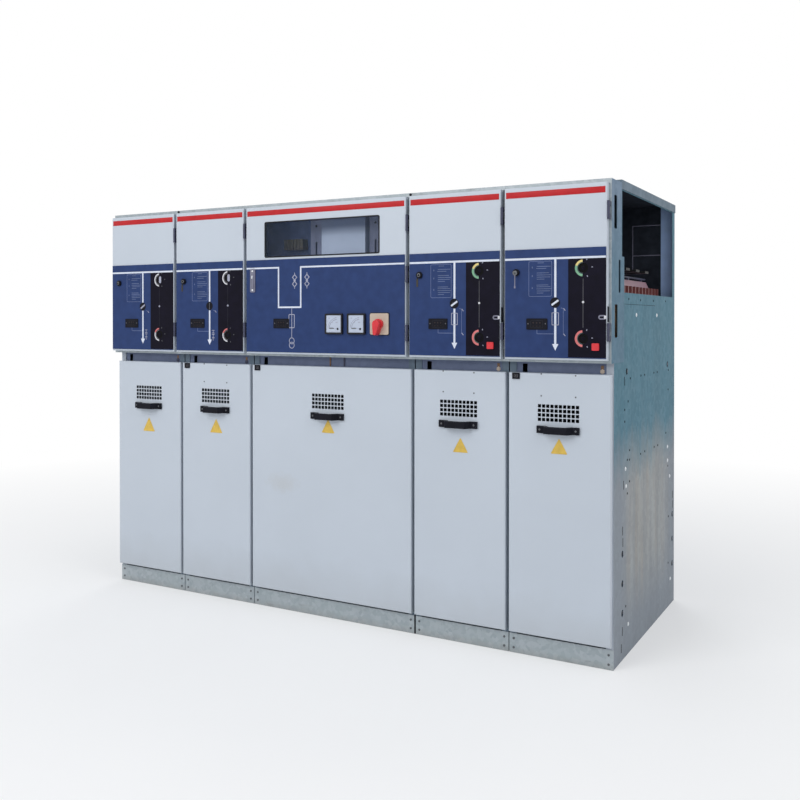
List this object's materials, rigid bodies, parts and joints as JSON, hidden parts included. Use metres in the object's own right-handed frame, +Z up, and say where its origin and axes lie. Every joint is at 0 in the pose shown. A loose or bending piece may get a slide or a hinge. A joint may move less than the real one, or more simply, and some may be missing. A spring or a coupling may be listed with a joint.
{
  "type": "ring main unit",
  "caption": "Row of medium-voltage switchgear cubicles with hinged instrument doors over lift-off cable covers, vents and an open busbar end.",
  "frame": {"origin": "centre of the floor footprint, at floor level", "axes": "+X along the row to the right seen from the front, -Y out of the front, +Z up"},
  "size_m": [2.2504, 0.9884, 1.645],
  "materials": {
    "galvanised": "dull zinc",
    "door_paint": "satin",
    "plinth_paint": "satin",
    "mimic_blue": "matt",
    "black_plastic": "matt",
    "epoxy": "satin",
    "sleeve": "matt",
    "yellow_zinc": "satin",
    "terminal_brown": "matt",
    "glass": "clear",
    "meter_case": "matt",
    "cream_plate": "satin",
    "red_plastic": "gloss"
  },
  "bodies": {
    "cubicles": {"side_plates": "galvanised", "busbar_frames": "galvanised", "rear_covers": "galvanised", "roof_covers": "galvanised", "busbar_floors": "galvanised", "floor_plates": "galvanised", "crossbars": "galvanised", "plinth_fronts": "plinth_paint", "switch_bodies": "epoxy", "busbars": "sleeve", "instrument_boxes": "galvanised", "metering_box": "galvanised", "end_box_sides": "galvanised", "inner_box_sides": "galvanised", "mechanism_brackets": "yellow_zinc", "meter_uprights": "galvanised", "meter_board": "door_paint", "terminal_block": "terminal_brown", "fixed_hinges": "black_plastic"},
    "upper_door_1": {"instrument_door_1": "door_paint", "mimic_panel_1": "mimic_blue", "panel_fittings_1": "black_plastic"},
    "lower_cover_1": {"lower_door_1": "door_paint", "door_handle_1": "black_plastic"},
    "upper_door_2": {"instrument_door_2": "door_paint", "mimic_panel_2": "mimic_blue", "panel_fittings_2": "black_plastic"},
    "lower_cover_2": {"lower_door_2": "door_paint", "door_handle_2": "black_plastic"},
    "upper_door_3": {"instrument_door_3": "door_paint", "mimic_panel_3": "mimic_blue", "panel_fittings_3": "black_plastic", "window_pane": "glass", "meters": "meter_case", "selector_plate": "cream_plate"},
    "lower_cover_3": {"lower_door_3": "door_paint", "door_handle_3": "black_plastic"},
    "upper_door_4": {"instrument_door_4": "door_paint", "mimic_panel_4": "mimic_blue", "panel_fittings_4": "black_plastic"},
    "lower_cover_4": {"lower_door_4": "door_paint", "door_handle_4": "black_plastic"},
    "upper_door_5": {"instrument_door_5": "door_paint", "mimic_panel_5": "mimic_blue", "panel_fittings_5": "black_plastic"},
    "lower_cover_5": {"lower_door_5": "door_paint", "door_handle_5": "black_plastic"},
    "selector": {"selector_knob": "red_plastic"},
    "trip_4": {"trip_button_4": "red_plastic"},
    "trip_5": {"trip_button_5": "red_plastic"}
  },
  "joints": [
    {"name": "upper_door_1_hinge", "type": "hinge", "parent": "cubicles", "child": "upper_door_1", "pos_m": [-0.754, -0.4604, 1.3265], "axis": [0, 0, 1], "range_deg": [0, 110]},
    {"name": "lower_cover_1_lift", "type": "slide", "parent": "cubicles", "child": "lower_cover_1", "axis": [0, 0, 1], "range_m": [0, 0.03]},
    {"name": "upper_door_2_hinge", "type": "hinge", "parent": "cubicles", "child": "upper_door_2", "pos_m": [-0.379, -0.4604, 1.3265], "axis": [0, 0, 1], "range_deg": [0, 110]},
    {"name": "lower_cover_2_lift", "type": "slide", "parent": "cubicles", "child": "lower_cover_2", "axis": [0, 0, 1], "range_m": [0, 0.03]},
    {"name": "upper_door_3_hinge", "type": "hinge", "parent": "cubicles", "child": "upper_door_3", "pos_m": [0.371, -0.4604, 1.3265], "axis": [0, 0, 1], "range_deg": [0, 110]},
    {"name": "lower_cover_3_lift", "type": "slide", "parent": "cubicles", "child": "lower_cover_3", "axis": [0, 0, 1], "range_m": [0, 0.03]},
    {"name": "upper_door_4_hinge", "type": "hinge", "parent": "cubicles", "child": "upper_door_4", "pos_m": [0.746, -0.4604, 1.3265], "axis": [0, 0, 1], "range_deg": [0, 110]},
    {"name": "lower_cover_4_lift", "type": "slide", "parent": "cubicles", "child": "lower_cover_4", "axis": [0, 0, 1], "range_m": [0, 0.03]},
    {"name": "upper_door_5_hinge", "type": "hinge", "parent": "cubicles", "child": "upper_door_5", "pos_m": [1.121, -0.4604, 1.3265], "axis": [0, 0, 1], "range_deg": [0, 110]},
    {"name": "lower_cover_5_lift", "type": "slide", "parent": "cubicles", "child": "lower_cover_5", "axis": [0, 0, 1], "range_m": [0, 0.03]},
    {"name": "selector_turn", "type": "hinge", "parent": "upper_door_3", "child": "selector", "pos_m": [0.25725, -0.4659, 1.153], "axis": [0, -1, 0], "range_deg": [0, 90]},
    {"name": "trip_4_press", "type": "slide", "parent": "upper_door_4", "child": "trip_4", "axis": [0, 1, 0], "range_m": [0, 0.004], "stiffness_N_per_m": 1200, "springref_m": -0.002},
    {"name": "trip_5_press", "type": "slide", "parent": "upper_door_5", "child": "trip_5", "axis": [0, 1, 0], "range_m": [0, 0.004], "stiffness_N_per_m": 1200, "springref_m": -0.002}
  ]
}
